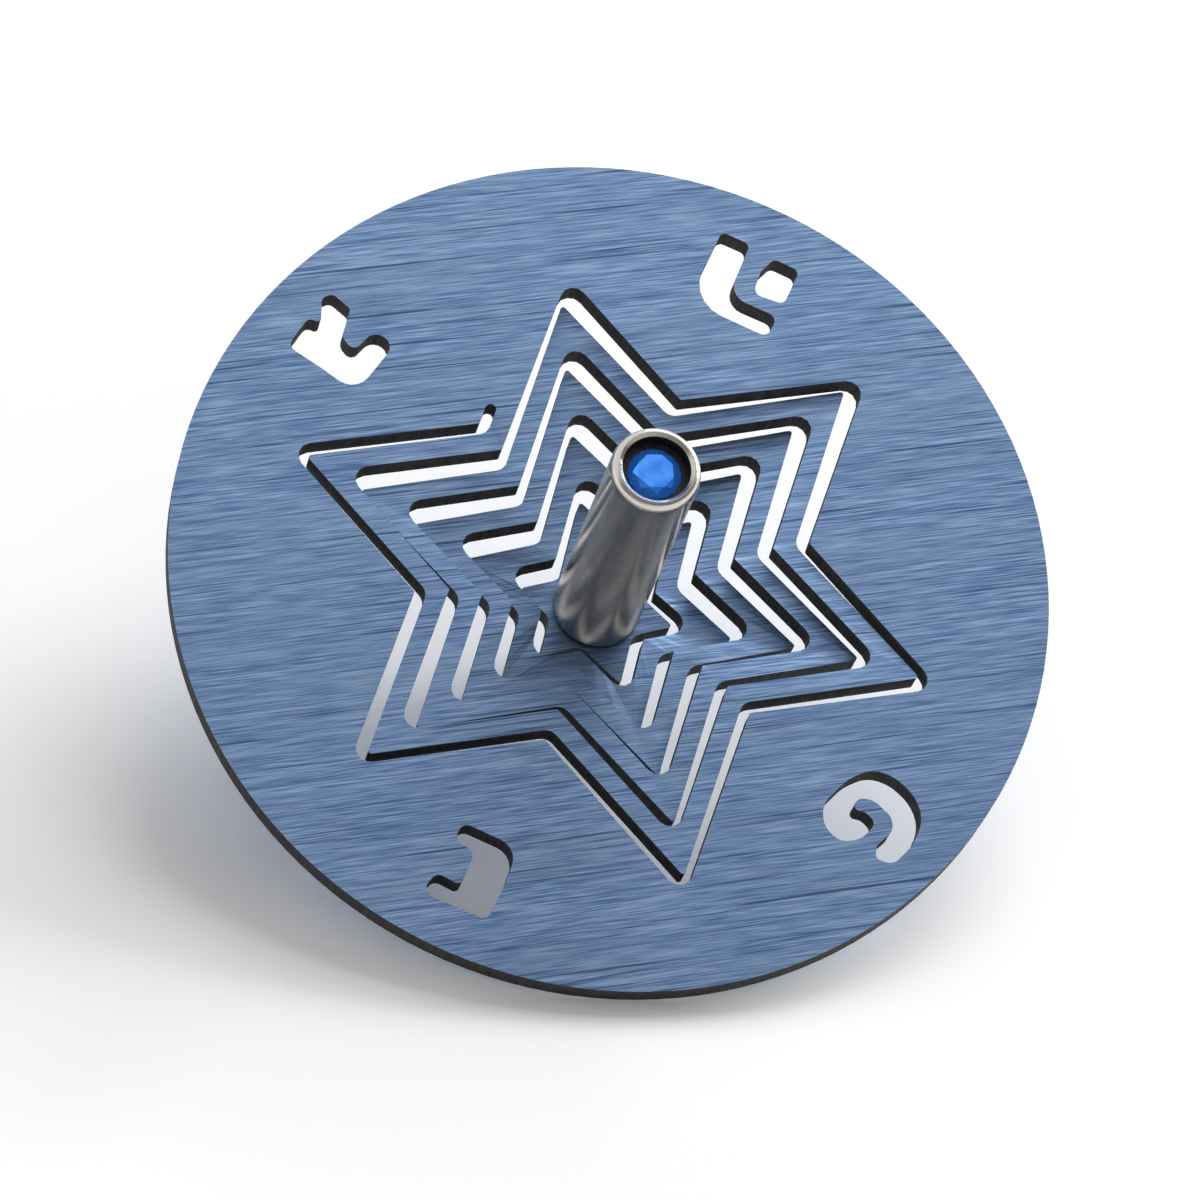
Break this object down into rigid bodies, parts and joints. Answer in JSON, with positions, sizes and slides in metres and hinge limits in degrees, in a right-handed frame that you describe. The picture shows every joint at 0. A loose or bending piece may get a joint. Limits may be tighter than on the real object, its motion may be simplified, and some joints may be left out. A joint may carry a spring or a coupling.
{
  "type": "disc dreidel",
  "caption": "Flat spinning top: a disc with cut-through letters and a spiral-cut star that steps down to its hub, a round finger stem holding a cut stone, and a turned spinning tip.",
  "frame": {"origin": "the spinning point, at the bottom of the tip", "axes": "+Z along the spin axis, from the spinning point to the stem's lip; +X towards one outer point of the star, square to the slot's first stretch"},
  "size_m": [0.08, 0.08, 0.0419],
  "materials": {
    "disc_sheet": "blue anodised over a straight brushed grain, bare dark cut edges",
    "stem_steel": "fine turned satin with a polished lip",
    "stone_glass": "polished blue facets",
    "cement": "dark cured adhesive",
    "stud_steel": "plain",
    "tip_steel": "fine turned satin"
  },
  "bodies": {
    "root": {"star_disc": "disc_sheet", "stem": "stem_steel", "stone": "stone_glass", "stone_cement": "cement", "stud": "stud_steel", "spinning_tip": "tip_steel"}
  },
  "joints": []
}
